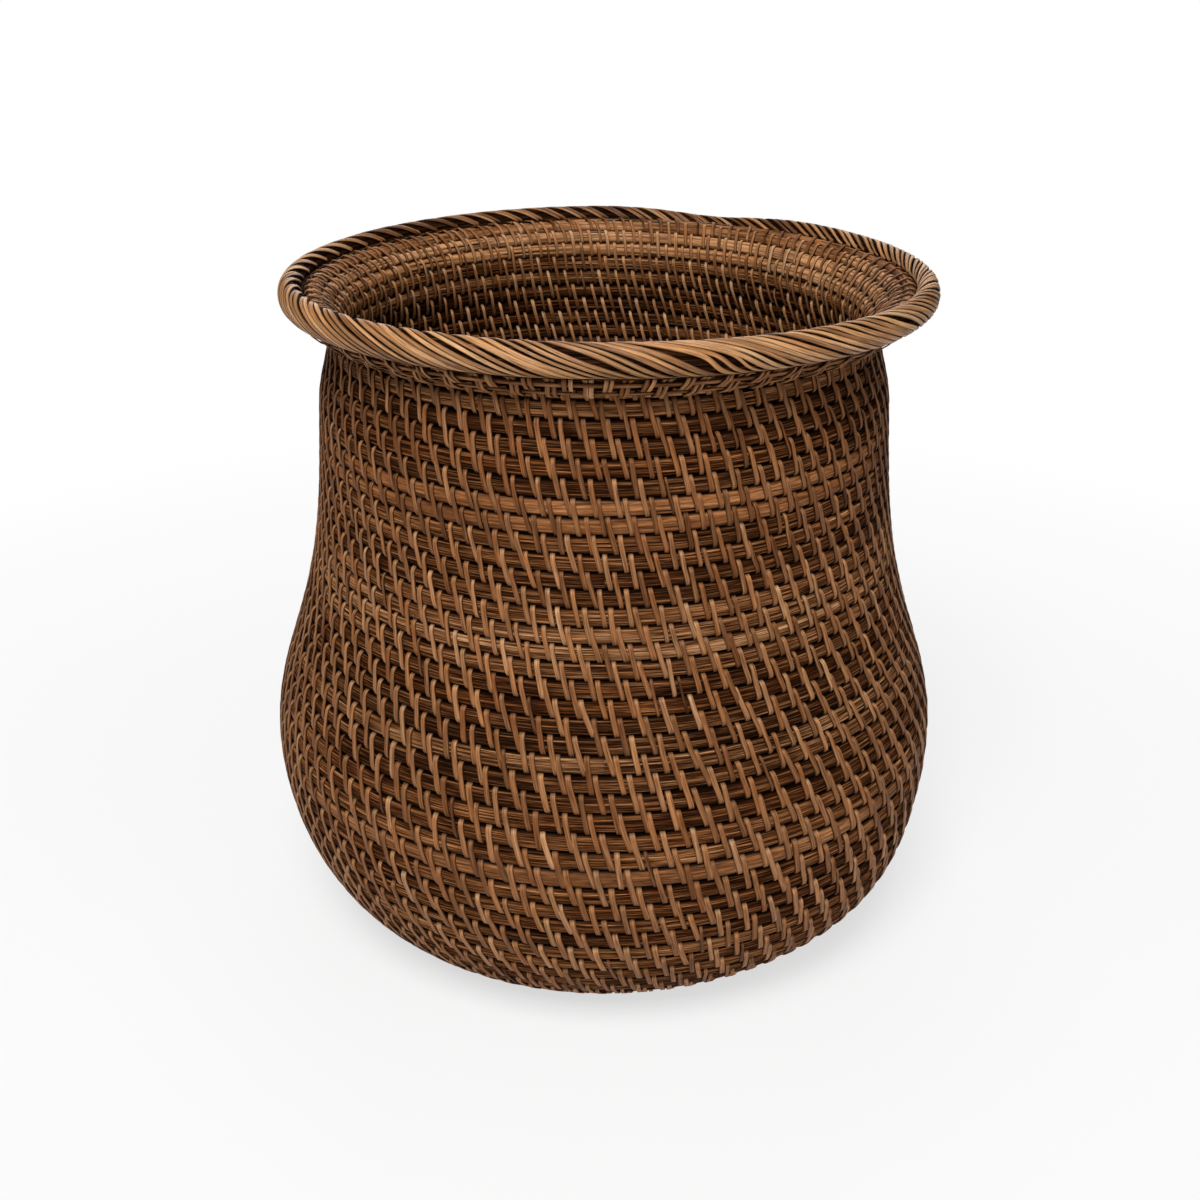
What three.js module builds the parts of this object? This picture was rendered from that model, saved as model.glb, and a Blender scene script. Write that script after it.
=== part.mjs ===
// A coiled rattan planter basket, in millimetres, standing on z = 0 with its axis along Z.
//
// The basket is one spiral of cane: flat outwards from the middle of the base, then up the wall,
// in at the neck and out again in a flared lip. A full turn of the spiral is a course. The cane is
// spliced from lengths, of a little over one turn in the wall and under half a turn in the lip.
// Each is a solid of its own that starts where the one below it ends, so that the splices are
// staggered round the basket. A hoop with a strip wrapped round it closes the lip, and a lashing
// covers the lip's underside.
import * as THREE from 'three';

// Sizes of the base and the wall, on the middle line of the canes
const BASE_RADIUS = 100;
const BELLY_RADIUS = 161;
const BELLY_HEIGHT = 93;
const SHOULDER_RADIUS = 145.5;
const SHOULDER_RISE = 63.5;
const SHOULDER_LEAN = 18;
const WAIST_RADIUS = 128.7;
const WAIST_RISE = 105.5;
const WAIST_LEAN = 4;
const NECK_RADIUS = 122.2;
const NECK_RISE = 35;

// Sizes of the flared lip
const LIP_REACH = 13.2;
const LIP_RISE = 15.5;
const LIP_ANGLE = 4;

// The cane and the turns it makes
const CANE_THICKNESS = 8.4;
const SHOULDER_INSET = 1.1;
const COURSE_GAP = 0.3;
const BASE_COURSES = 14;
const START_COURSES = 5;
const SHAVED_COURSES = 3;
const WALL_COURSES = 40;
const LIP_COURSES = 4;
const BASE_CANES = 7;
const WALL_CANES = 36;
const LIP_CANES = 10;
const WALL_TOP_BELOW_NECK = 1.8;
const MID_WALL_LIFT = 6.2;

// The rim's hoop, the strip round it and the lashing below it
const RIM_HALF_WIDTH = 5.2;
const RIM_HALF_HEIGHT = 6.85;
const RIM_ABOVE_LIP = 1.3;
const RIM_STRIP_THICKNESS = 1.2;
const RIM_CLEARANCE = 0.3;
const RIM_SLIT_ANGLE = 30;
const LASHING_THICKNESS = 1.2;
const LASHING_START_BELOW_NECK = 1.5;
const LASHING_PAST_LIP = 1.5;

// How finely round shapes are cut
const STEPS_PER_TURN = 24;
const STEPS_LEFT_OFF_AT_START = 8;
const STEPS_LEFT_OFF_AT_END = 5;
const HOOP_SIDES = 8;
const WRAP_SIDES = 12;
const LASHING_STEPS = 3;
const PROFILE_DIVISIONS = 400;

// Share of a stretch's length that its curve's handles take
const HANDLE_SHARE = 0.37;

const ALL_COURSES = BASE_COURSES + WALL_COURSES + LIP_COURSES;
const SEAM_AZIMUTH = -Math.PI / 2;
const FULL_TURN = 2 * Math.PI;
const HALF_CANE = CANE_THICKNESS / 2;
const radians = THREE.MathUtils.degToRad;

// The profile: x is the radius, y the height, and heading the angle in which the line leaves a station
const SHOULDER_HEIGHT = BELLY_HEIGHT + SHOULDER_RISE;
const WAIST_HEIGHT = SHOULDER_HEIGHT + WAIST_RISE;
const NECK_HEIGHT = WAIST_HEIGHT + NECK_RISE;
const stations = [
  { radius: BASE_RADIUS, height: HALF_CANE, heading: 0 },
  { radius: BELLY_RADIUS, height: BELLY_HEIGHT, heading: 90 },
  { radius: SHOULDER_RADIUS, height: SHOULDER_HEIGHT, heading: 90 + SHOULDER_LEAN },
  { radius: WAIST_RADIUS, height: WAIST_HEIGHT, heading: 90 + WAIST_LEAN },
  { radius: NECK_RADIUS, height: NECK_HEIGHT, heading: 90 },
  { radius: NECK_RADIUS + LIP_REACH, height: NECK_HEIGHT + LIP_RISE, heading: LIP_ANGLE },
];

function curveBetween(from, to) {
  const start = new THREE.Vector2(from.radius, from.height);
  const end = new THREE.Vector2(to.radius, to.height);
  const handle = start.distanceTo(end) * HANDLE_SHARE;
  const leaving = new THREE.Vector2(Math.cos(radians(from.heading)), Math.sin(radians(from.heading)));
  const arriving = new THREE.Vector2(Math.cos(radians(to.heading)), Math.sin(radians(to.heading)));
  const curve = new THREE.CubicBezierCurve(
    start,
    start.clone().addScaledVector(leaving, handle),
    end.clone().addScaledVector(arriving, -handle),
    end,
  );
  curve.arcLengthDivisions = PROFILE_DIVISIONS;
  return curve;
}

function makeProfile() {
  const baseLine = new THREE.LineCurve(
    new THREE.Vector2(0, HALF_CANE),
    new THREE.Vector2(BASE_RADIUS, HALF_CANE),
  );
  const curves = [baseLine];
  for (let i = 1; i < stations.length; i += 1) {
    curves.push(curveBetween(stations[i - 1], stations[i]));
  }
  let start = 0;
  return curves.map((curve) => {
    const stretch = { curve, start, length: curve.getLength() };
    start += stretch.length;
    return stretch;
  });
}

const profile = makeProfile();
const lipStretch = profile[profile.length - 1];
const NECK_DISTANCE = lipStretch.start;
const LIP_DISTANCE = lipStretch.start + lipStretch.length;
const WALL_TOP_DISTANCE = NECK_DISTANCE - WALL_TOP_BELOW_NECK;

// Middle point and outward direction of the wall at a distance along the profile from the axis.
// Past the lip the profile runs straight on.
function profileAt(distance) {
  const stretch = profile.find((s) => distance < s.start + s.length) ?? lipStretch;
  const share = THREE.MathUtils.clamp((distance - stretch.start) / stretch.length, 0, 1);
  const middle = stretch.curve.getPointAt(share);
  const along = stretch.curve.getTangentAt(share);
  middle.addScaledVector(along, Math.max(0, distance - LIP_DISTANCE));
  const outward = new THREE.Vector2(along.y, -along.x);
  return { middle, along, outward };
}

function wallPoint(distance, offset, azimuth) {
  const { middle, outward } = profileAt(distance);
  const radius = middle.x + outward.x * offset;
  const height = middle.y + outward.y * offset;
  return new THREE.Vector3(radius * Math.cos(azimuth), radius * Math.sin(azimuth), height);
}

// Distance along the profile of the joint below a course, where turns count from the middle of the
// base. The cane is shaved thin at its start, and reaches its full width over the shaved courses.
// Low on the wall the courses are a little wider than high on it, which lifts those halfway up.
function jointAt(turn) {
  const wallTurn = turn - BASE_COURSES;
  const lipTurn = wallTurn - WALL_COURSES;
  const basePitch = BASE_RADIUS / (BASE_COURSES - SHAVED_COURSES / 2);
  if (turn < SHAVED_COURSES) {
    return (basePitch * turn * turn) / (2 * SHAVED_COURSES);
  }
  if (wallTurn <= 0) {
    return basePitch * (turn - SHAVED_COURSES / 2);
  }
  if (lipTurn < 0) {
    const wallShare = wallTurn / WALL_COURSES;
    const lift = MID_WALL_LIFT * Math.sin(Math.PI * wallShare) ** 1.5;
    return BASE_RADIUS + (WALL_TOP_DISTANCE - BASE_RADIUS) * wallShare + lift;
  }
  const lipShare = Math.min(1, lipTurn / LIP_COURSES);
  return WALL_TOP_DISTANCE + (LIP_DISTANCE - WALL_TOP_DISTANCE) * lipShare;
}

// A closed body from rings of points, each ring joined to the next. An open run gets flat ends,
// and a loop joins its last ring to its first.
function bodyFromRings(rings, isLoop) {
  const sides = rings[0].length;
  const positions = rings.flat().flatMap((point) => point.toArray());
  const index = [];
  const joins = isLoop ? rings.length : rings.length - 1;
  for (let i = 0; i < joins; i += 1) {
    const here = i * sides;
    const next = ((i + 1) % rings.length) * sides;
    for (let j = 0; j < sides; j += 1) {
      const k = (j + 1) % sides;
      index.push(here + j, next + j, next + k);
      index.push(here + j, next + k, here + k);
    }
  }
  if (!isLoop) {
    const last = (rings.length - 1) * sides;
    for (let j = 1; j < sides - 1; j += 1) {
      index.push(0, j, j + 1);
      index.push(last, last + j + 1, last + j);
    }
  }
  const geometry = new THREE.BufferGeometry();
  geometry.setAttribute('position', new THREE.Float32BufferAttribute(positions, 3));
  geometry.setIndex(index);
  geometry.computeVertexNormals();
  return geometry;
}

// Section of one course at an azimuth: flat against the courses above and below it, with a ridge
// inside and outside. Under the base the outer side is flat, so that the basket stands on it.
function courseSection(turn, azimuth, isFlatOutside) {
  const low = jointAt(turn) + COURSE_GAP / 2;
  const high = jointAt(turn + 1) - COURSE_GAP / 2;
  const middle = (low + high) / 2;
  const edge = HALF_CANE - SHOULDER_INSET;
  const inner = [
    wallPoint(high, -edge, azimuth),
    wallPoint(middle, -HALF_CANE, azimuth),
    wallPoint(low, -edge, azimuth),
  ];
  if (isFlatOutside) {
    return [...inner, wallPoint(low, HALF_CANE, azimuth), wallPoint(high, HALF_CANE, azimuth)];
  }
  return [
    ...inner,
    wallPoint(low, edge, azimuth),
    wallPoint(middle, HALF_CANE, azimuth),
    wallPoint(high, edge, azimuth),
  ];
}

// A run of the spiral between two of its steps, counted from the middle of the base and drawn in
// by half a gap at each end. The steps of neighbouring turns lie at the same azimuths.
function spiralRun(firstStep, lastStep) {
  const isFlatOutside = firstStep < BASE_COURSES * STEPS_PER_TURN;
  const rings = [];
  for (let step = firstStep; step <= lastStep; step += 1) {
    const turn = step / STEPS_PER_TURN;
    const radius = profileAt(jointAt(turn + 0.5)).middle.x;
    let azimuth = SEAM_AZIMUTH + turn * FULL_TURN;
    if (step === firstStep) {
      azimuth += COURSE_GAP / 2 / radius;
    }
    if (step === lastStep) {
      azimuth -= COURSE_GAP / 2 / radius;
    }
    rings.push(courseSection(turn, azimuth, isFlatOutside));
  }
  return bodyFromRings(rings, false);
}

// A closed hoop round the axis from an outline in the radius and height plane
function hoop(outline) {
  const rings = [];
  for (let i = 0; i < STEPS_PER_TURN; i += 1) {
    const azimuth = SEAM_AZIMUTH + (i * FULL_TURN) / STEPS_PER_TURN;
    rings.push(outline.map((p) => new THREE.Vector3(p.x * Math.cos(azimuth), p.x * Math.sin(azimuth), p.y)));
  }
  return bodyFromRings(rings, true);
}

// The rim lies against the end of the lip and stands a little above it. It is oval, taller than wide.
const lipEnd = profileAt(LIP_DISTANCE);
const rimMiddle = lipEnd.middle.clone().addScaledVector(lipEnd.along, RIM_HALF_WIDTH + RIM_CLEARANCE);
rimMiddle.y += RIM_ABOVE_LIP;

function aroundRim(depth, angle) {
  return new THREE.Vector2(
    rimMiddle.x + (RIM_HALF_WIDTH - depth) * Math.cos(angle),
    rimMiddle.y + (RIM_HALF_HEIGHT - depth) * Math.sin(angle),
  );
}

function rimCore() {
  const outline = [];
  for (let i = 0; i < HOOP_SIDES; i += 1) {
    outline.push(aroundRim(RIM_STRIP_THICKNESS + RIM_CLEARANCE, (i * FULL_TURN) / HOOP_SIDES));
  }
  return hoop(outline);
}

// The strip wraps the hoop all round but for a slit that faces the end of the lip
function rimWrap() {
  const slitMiddle = lipEnd.along.angle() + Math.PI;
  const halfSlit = radians(RIM_SLIT_ANGLE) / 2;
  const outer = [];
  const inner = [];
  for (let i = 0; i <= WRAP_SIDES; i += 1) {
    const angle = slitMiddle + halfSlit + ((FULL_TURN - 2 * halfSlit) * i) / WRAP_SIDES;
    outer.push(aroundRim(0, angle));
    inner.push(aroundRim(RIM_STRIP_THICKNESS, angle));
  }
  return hoop([...outer, ...inner.reverse()]);
}

function lashing() {
  const start = NECK_DISTANCE - LASHING_START_BELOW_NECK;
  const end = LIP_DISTANCE + LASHING_PAST_LIP;
  const near = [];
  const far = [];
  for (let i = 0; i <= LASHING_STEPS; i += 1) {
    const { middle, outward } = profileAt(start + ((end - start) * i) / LASHING_STEPS);
    near.push(middle.clone().addScaledVector(outward, HALF_CANE + COURSE_GAP));
    far.push(middle.clone().addScaledVector(outward, HALF_CANE + COURSE_GAP + LASHING_THICKNESS));
  }
  return hoop([...near.reverse(), ...far]);
}

const basket = new THREE.Group();
const canes = [
  new THREE.MeshStandardMaterial({ color: 0x5a3a20, roughness: 0.55, metalness: 0 }),
  new THREE.MeshStandardMaterial({ color: 0x7a5230, roughness: 0.55, metalness: 0 }),
  new THREE.MeshStandardMaterial({ color: 0x4a2e18, roughness: 0.55, metalness: 0 }),
];
const strip = new THREE.MeshStandardMaterial({ color: 0xa06c3e, roughness: 0.45, metalness: 0 });
const hoopCane = new THREE.MeshStandardMaterial({ color: 0x3c2616, roughness: 0.6, metalness: 0 });

function add(name, geometry, material) {
  const mesh = new THREE.Mesh(geometry, material);
  mesh.name = name;
  basket.add(mesh);
}

// The lengths of cane between two turns of the spiral, spliced at whole steps
function addCanes(name, count, firstTurn, lastTurn) {
  const start = firstTurn * STEPS_PER_TURN;
  const leftOff = lastTurn === ALL_COURSES ? STEPS_LEFT_OFF_AT_END : 0;
  const end = lastTurn * STEPS_PER_TURN - leftOff;
  const splices = Array.from({ length: count + 1 }, (_, i) => Math.round(start + ((end - start) * i) / count));
  for (let i = 0; i < count; i += 1) {
    const number = String(i + 1).padStart(2, '0');
    add(`${name}_${number}`, spiralRun(splices[i], splices[i + 1]), canes[i % canes.length]);
  }
}

const WALL_END = BASE_COURSES + WALL_COURSES;
add('base_start_coil', spiralRun(STEPS_LEFT_OFF_AT_START, START_COURSES * STEPS_PER_TURN), canes[0]);
addCanes('base_cane', BASE_CANES, START_COURSES, BASE_COURSES);
addCanes('wall_cane', WALL_CANES, BASE_COURSES, WALL_END);
addCanes('lip_cane', LIP_CANES, WALL_END, ALL_COURSES);
add('rim_hoop', rimCore(), hoopCane);
add('rim_wrapping', rimWrap(), strip);
add('rim_lashing', lashing(), strip);

export default basket;
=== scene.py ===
# The looks of a coiled rattan planter basket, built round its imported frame.
#
# The basket is one spiral of cane. Turns of the spiral are counted from the middle of the base, and
# the joint below a turn has a distance along the profile of the wall. Every length of cane and the
# strip that binds it are placed by that distance, an offset from the wall's middle line and an
# azimuth. Sizes are in millimetres, and meshes are scaled to metres as they are made.
import math

import bpy
import numpy as np
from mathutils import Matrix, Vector


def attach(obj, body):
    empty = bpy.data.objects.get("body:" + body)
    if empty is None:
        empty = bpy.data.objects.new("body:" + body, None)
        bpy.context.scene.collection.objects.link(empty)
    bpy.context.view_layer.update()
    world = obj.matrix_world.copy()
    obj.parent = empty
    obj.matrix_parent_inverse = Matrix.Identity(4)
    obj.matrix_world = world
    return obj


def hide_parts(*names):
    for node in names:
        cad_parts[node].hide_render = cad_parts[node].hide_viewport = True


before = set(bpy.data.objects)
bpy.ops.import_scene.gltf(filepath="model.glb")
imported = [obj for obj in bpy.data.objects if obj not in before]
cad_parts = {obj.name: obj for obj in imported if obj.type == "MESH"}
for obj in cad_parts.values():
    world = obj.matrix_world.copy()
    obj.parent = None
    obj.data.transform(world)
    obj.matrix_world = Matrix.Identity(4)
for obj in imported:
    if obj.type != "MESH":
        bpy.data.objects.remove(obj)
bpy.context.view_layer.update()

MM = 0.001
SEED = 20
FULL_TURN = 2 * math.pi
SEAM_AZIMUTH = -math.pi / 2

# Smooth random waves: three of different lengths are added and brought down to a height of about 1
WANDER_SHARES = (1.0, 0.6, 0.37)
WANDER_STRETCH = (0.8, 1.25)
WANDER_HEIGHT = 1.5

# The profile's stations, on the middle line of the canes: radius, height and heading in degrees
STATIONS = [
    (100.0, 4.2, 0),
    (161.0, 93.0, 90),
    (145.5, 156.5, 108),
    (128.7, 262.0, 94),
    (122.2, 297.0, 90),
    (135.4, 312.5, 4),
]
NECK_RADIUS, NECK_HEIGHT = STATIONS[4][:2]
LIP_RADIUS, LIP_HEIGHT = STATIONS[5][:2]
HANDLE_SHARE = 0.37
PROFILE_DIVISIONS = 400
PROFILE_REACH = 0.5
RUN_ON = 20.0

# The courses of the spiral and the lengths of cane that make them
BASE_RADIUS = STATIONS[0][0]
BASE_COURSES = 14
START_COURSES = 5
SHAVED_COURSES = 3
WALL_COURSES = 40
LIP_COURSES = 4
WALL_END = BASE_COURSES + WALL_COURSES
ALL_COURSES = WALL_END + LIP_COURSES
WALL_TOP_BELOW_NECK = 1.8
MID_WALL_LIFT = 6.2
MID_WALL_LIFT_POWER = 1.5
BASE_CANES = 7
WALL_CANES = 36
LIP_CANES = 10
STEPS_PER_TURN = 24
STEPS_LEFT_OFF_AT_END = 5

# The courses are a little uneven: waves as turns from crest to crest, share and phase
COURSE_UNEVENNESS = 0.26
UNEVEN_WAVES = ((1.37, 1.0, 0), (0.83, 0.6, 1))
EVEN_ENDS = 0.1

# The core of the cane, which thins with its course where the spiral starts and runs out
CORE_HALF_DEPTH = 3.55
CORE_OVERLAP = 0.08
START_OVERLAP = 0.7
START_OVERLAP_TURNS = (1.2, 0.8)
CORE_SQUARENESS = 2.6
CORE_SQUARENESS_INSIDE = 2.3
CORE_SEGMENTS = 24
CORE_STEPS_PER_TURN = 190
CROWN_WAVE = 0.02
CROWN_WAVELENGTH = 90
THIN_COURSE = 4.0
THINNEST_SHARE = 0.05
THINNING_POWER = 0.7

# The wandering grooves between its fibre bundles
GROOVES = 5
GROOVE_DEPTH = 0.42
SHALLOWEST_GROOVES = 0.6
GROOVE_WIDTH = 0.34
GROOVE_SPAN = 0.86
GROOVE_JITTER = 0.25
GROOVE_WANDER = 0.5
GROOVE_WANDER_LENGTH = 140
GROOVE_STRENGTH = 0.55
GROOVE_STRENGTH_WAVE = 0.75
GROOVE_STRENGTH_LENGTH = 60

# Tones of the cores from dark at 0 to pale at 1, the courses that stand out at the front, and the
# courses whose cane has its smooth skin on
MIDDLE_TONE = 0.42
TONE_SPREAD = 0.09
TONE_TURNS = (0.7, 1.5)
TONE_LIMIT = 2
TONE_WAVE = 0.08
TONE_WAVELENGTH = 200
LIP_TONE = 0.78
# Painted shade on the inner side of the wall's cores
INSIDE_SHADE = 0.02
# The dark marks on courses 50 to 52 under the rim are partly painted shadow of the rim; the other marks are
# the cane's own tone
MARKED_COURSES = {
    28: 0.62, 35: 0.3, 37: 0.3, 38: 0.36, 40: 0.64, 41: 0.62, 42: 0.56, 43: 0.32, 44: 0.36, 47: 0.62,
    48: 0.67, 50: 0.32, 51: 0.34, 52: 0.22, 53: 0.64, 54.5: 0.88,
}
MARK_EDGE = (0.5, 0.4)
SMOOTH_COURSES = (28, 47, 48)

# Turns over which the looks change from those of the wall to those of the lip
LIP_TONE_TURNS = (53.5, 54)
LIP_INSIDE_TURNS = (53.2, 54)
WALL_INSIDE_TURNS = (53.2, 52.6)
LIP_STITCH_TURNS = (52.8, 53.6)

# Painted shade at the edges of a course, where its core goes under the courses beside it
EDGE_SHADE = 0.97
LIP_EDGE_SHADE_RELIEF = 0.47
EDGE_SHARES = (0.66, 0.84)
# More painted shade in the joints inside the wall
INSIDE_GAP_SHADE = 0.1

# The grain of a core's inner side starts far from that of its outer side. Each length has a seed
FAR_SIDE_GRAIN = 40
MOST_SEEDS = 100

# The binding strip: each stitch goes down outside over two courses and comes up inside
STITCHES_PER_TURN = 81.4
BASE_STITCH_SPACING = 7.1
FIRST_STITCH_TURN = 2.3
STITCH_WIDTH_SHARE = 0.214
STITCH_THICKNESS = 0.72
BASE_STITCH_THICKNESS = 0.6
INSIDE_NARROWING = 0.85
ODD_STITCHES = 0.03
ODD_WIDTH = 0.6
MIDDLE_DIP = 0.1
OUTSIDE_SHARE = 0.34
GAP_SHARE = 0.12
INSIDE_SHARE = 1 - OUTSIDE_SHARE - 2 * GAP_SHARE
STITCH_CURVE = 1.2

# How much the stitches vary, as standard deviations
STITCH_JITTER_OUTSIDE = 0.035
STITCH_JITTER_INSIDE = 0.04
STITCH_SLANT_JITTER = 0.032
STITCH_WIDTH_JITTER = 0.07
STITCH_THICKNESS_JITTER = 0.08
STITCH_TONE_JITTER = 0.075

# Tones of the stitches, with the places across their courses where each change comes in
STITCH_TONE = 0.5
STITCH_TONE_SPREAD = 0.08
STITCH_TONE_TURNS = (0.15, 0.7)
ODD_DARKENING = 0.3
# Painted highlights at the stitch ends, where they bend out of the joints towards the light
END_HIGHLIGHT = 0.18
END_HIGHLIGHT_PLACES = (0.7, 0.9)
LIP_END_HIGHLIGHT = 0.22
LIP_END_HIGHLIGHT_PLACES = (0.74, 0.9)
# Painted light on the stitches inside the wall
INSIDE_PAINTED_LIGHT = 0.2
# Painted shade on the lower half of the stitches inside, mostly taken off in the lip
INSIDE_LOWER_SHADE = 0.34
INSIDE_LOWER_PLACES = (0.25, -0.35)
LIP_LOWER_RELIEF = 0.8
# Painted shadow of the rim on the outer stitches at the top of the wall
RIM_SHADOW = 0.09
RIM_SHADOW_TURNS = (42, 50)
# Painted shade on the stitches where they go down into the joints
STITCH_DEPTH_SHADE = 0.92
STITCH_SHADE_DEPTHS = (1.6, 3.1)
OUTSIDE_STATIONS = (
    0.985, 0.965, 0.93, 0.86, 0.7, 0.45, 0.2, 0.0, -0.2, -0.45, -0.7, -0.86, -0.93, -0.965, -0.985,
)
INSIDE_STATIONS = (-0.98, -0.94, -0.84, -0.55, -0.2, 0.0, 0.2, 0.55, 0.84, 0.94, 0.98)

# The rim: an oval hoop of thick cane, with ribs along it
RIM_HALF_WIDTH = 5.2
RIM_HALF_HEIGHT = 6.85
RIM_ABOVE_LIP = 1.0
RIM_CLEARANCE = 0.3
RIM_HOOP_DEPTH = 0.66
RIM_HOOP_STEPS = 420
RIM_HOOP_SIDES = 48
RIM_HOOP_TONE = 0.14
# Painted shade over the whole hoop and the corner cane, which lie under and beside the strips
RIM_HOOP_SHADE = 0.3
RIM_HOOP_SEED = 7.0
RIBS = 14
RIB_DEPTH = 0.35
RIB_WIDTH = 0.07
RIB_WANDER = 0.15
RIB_WAVES = (2, 9)
RIB_PHASES = 6

# Pairs of strips are laid slanting round it, from inside over the top and down outside. Their
# stations are angles in degrees round the rim's section, from 0 outside to 90 on top
RIM_PAIRS = 72
RIM_STRIP_WIDTH = 1.92
RIM_STRIP_THICKNESS = 0.66
RIM_STRIP_START = 172
RIM_STRIP_END = -112
RIM_STATIONS = 44
RIM_SLOPE_INSIDE = 29
RIM_SLOPE_OUTSIDE = 23
RIM_SLOPE_PLACES = (60, 120)
RIM_NARROWING = 0.12
RIM_NARROWING_PLACES = (100, 160)
RIM_TUCK = 1.5
RIM_TUCK_START_PLACES = (160, 172)
RIM_TUCK_END_PLACES = (-98, -112)
RIM_FRONT_LIFT = 0.25
RIM_REAR_LIFT = -0.1
RIM_LIFT_PLACES = (60, 150)
RIM_LIFT_JITTER = 0.08
RIM_START_JITTER = 0.04
RIM_WIDTH_JITTER = 0.13

# How far the strips of a pair are apart, as shares of the way from pair to pair, and where they
# lie in bunches of a few strips
RIM_APART = 0.25
RIM_APART_AT_START = 0.13
RIM_APART_CHANGE = 0.1
RIM_APART_PLACES = (50, 165)
RIM_LOOSEST_AZIMUTH = math.radians(10)
RIM_BUNCH_SIZES = (2, 7)
RIM_BUNCH_PLACE = 25
RIM_BUNCH_REACH = 50
RIM_BUNCHING = 0.13
RIM_WIDE_BUNCHING = 0.2
RIM_WIDEST_AZIMUTH = math.radians(-84)
RIM_WIDEST_WIDTH = math.radians(18)

# Tones of the rim's strips, which are duller on the inner side at the back
RIM_TONE = 0.57
RIM_TONE_JITTER = 0.15
RIM_TONE_LIMITS = (0.15, 0.9)
RIM_BACK_DARKENING = 0.4
RIM_BACK_SINES = (0.3, 0.8)
RIM_BACK_PLACES = (40, 90)
# Painted shade on the strips' ends where they tuck under
RIM_TUCK_SHADE = 0.8

# A thin cane fills the corner between the lip and the rim
CORNER_CANE_PAST_LIP = 0.8
CORNER_CANE_RADIUS = 2.1

# The lashing spans the hollow from the neck to the underside of the rim: pairs of strips, which lean
# outwards at the sides, woven over and under flat strands, and a few thin canes behind them
LASHING_FOOT_ABOVE_NECK = 0.2
LASHING_FOOT_OUT = 4.6
LASHING_TOP_INSIDE_RIM = 1.5
LASHING_TOP_BELOW_RIM = 0.4
LASHING_FULLNESS = 0.8
LASHING_WAVE = 0.95
LASHING_STRANDS = 2
LASHING_STRAND_WIDTH = 2.2
LASHING_STRAND_THICKNESS = 0.75
LASHING_STRIP_WIDTH = 1.9
LASHING_STRIP_THICKNESS = 0.55
LASHING_PAIRS = 116
LASHING_LEAN = 0.9
LASHING_LEAN_CHANGE = 2.5
LASHING_LEAN_JITTER = 0.1
LASHING_SHIFT_JITTER = 0.03
LASHING_WIDTH_JITTER = 0.08
LASHING_SPACE_BETWEEN = 0.1
LASHING_WAVE_SHARPNESS = 1.5
LASHING_STATIONS_PER_STRAND = 10
LASHING_TUCK = 1.4
LASHING_TUCK_SHARE = 0.1
# Painted shade on the strips where they tuck in at the neck
LASHING_TUCK_SHADE = 0.85
LASHING_TONE = 0.6
LASHING_TONE_JITTER = 0.13
LASHING_TONE_LIMITS = (0.1, 0.95)
LASHING_STRAND_TONE = 0.42
LASHING_STRAND_SIDES = 12
LASHING_CANES = 3
LASHING_CANE_RADIUS = 2.5
LASHING_CANE_TONE = 0.3
LASHING_CANE_SIDES = 20
LASHING_RING_STEPS = RIM_PAIRS * 12
LASHING_RING_TONE_WAVE = 0.12
LASHING_RING_TONE_CRESTS = RIM_PAIRS * 0.37
LASHING_RING_FLATNESS = 0.7
LASHING_RING_SEED = 13.0

# How far the hand-made basket strays from its true form
STRAY_BELOW_NECK = 3
RIM_SHIFT = 2.07
RIM_OVAL = 3.06
RIM_SADDLE = 0.95
RIM_SAG = 3.2
RIM_SAG_AZIMUTH = math.radians(66)
RIM_SAG_WIDTH = math.radians(13)
BULGE = 4.0
BULGE_AZIMUTH = math.radians(-35)
BULGE_WIDTH = math.radians(32)
BULGE_HEIGHT = 34.0
BULGE_TALL = 30.0
BULGE_RADII = (60, 110)

# Random streams beside those of the lengths of cane, which are numbered from 0
CORE_TONE_STREAM = 1
RIM_HOOP_STREAM = 200
RIM_WRAPPING_STREAM = 201
LASHING_STREAM = 202

# The camera, fitted to the outline of the basket in the photograph
CAMERA_PLACE = (-1.9, -677.6, 469.3)
CAMERA_TARGET = (-1.9, 0.0, 151.3)
CAMERA_LENS = 44.5
SENSOR_WIDTH = 36

# The lights: name, place, size in metres and power. They face a point inside the basket
LIGHTS = (
    ("key", (-230, -1180, 1850), 0.95, 45.5),
    ("fill", (1500, -900, 900), 1.3, 4),
    ("side", (-1600, -500, 700), 1.3, 0.8),
    ("back", (0, 1700, 520), 1.6, 16),
)
LIGHTS_AIM = (0, 0, 160)
WORLD_LEVEL = 0.075

# The floor, in metres, and the distances over which it turns white to the camera
FLOOR_HALF_SIZE = 30.0
FLOOR_COLOUR = (0.82, 0.82, 0.82, 1)
FLOOR_ROUGHNESS = 0.9
FLOOR_SPECULAR = 0.1
FLOOR_WHITE_NEAR = 0.66
FLOOR_WHITE_DISTANCES = (0.12, 0.75)
WHITE = (1, 1, 1, 1)


def smoothstep(low, high, value):
    share = np.clip((value - low) / (high - low), 0, 1)
    return share * share * (3 - 2 * share)


def wander(along, rng, wavelength):
    """A smooth random wave along a length, mostly between -1 and 1."""
    total = np.zeros_like(along)
    for share in WANDER_SHARES:
        stretch = rng.uniform(*WANDER_STRETCH)
        phase = rng.uniform(0, FULL_TURN)
        total += share * np.sin(FULL_TURN * along / (wavelength * share * stretch) + phase)
    return total / WANDER_HEIGHT


def turned_from(angle, middle):
    """Angle from a middle one, between minus and plus half a turn."""
    return np.angle(np.exp(1j * (angle - middle)))


def stack_over(shape, *values):
    """Three values for every point of a shape."""
    return np.stack([np.broadcast_to(value, shape) for value in values], axis=-1)


def round_axis(reach, azimuth, level):
    """Points or directions at an azimuth, from how far they go outwards and up."""
    parts = np.broadcast_arrays(reach * np.cos(azimuth), reach * np.sin(azimuth), level)
    return np.stack(parts, axis=-1)


# The profile of the wall

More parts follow.
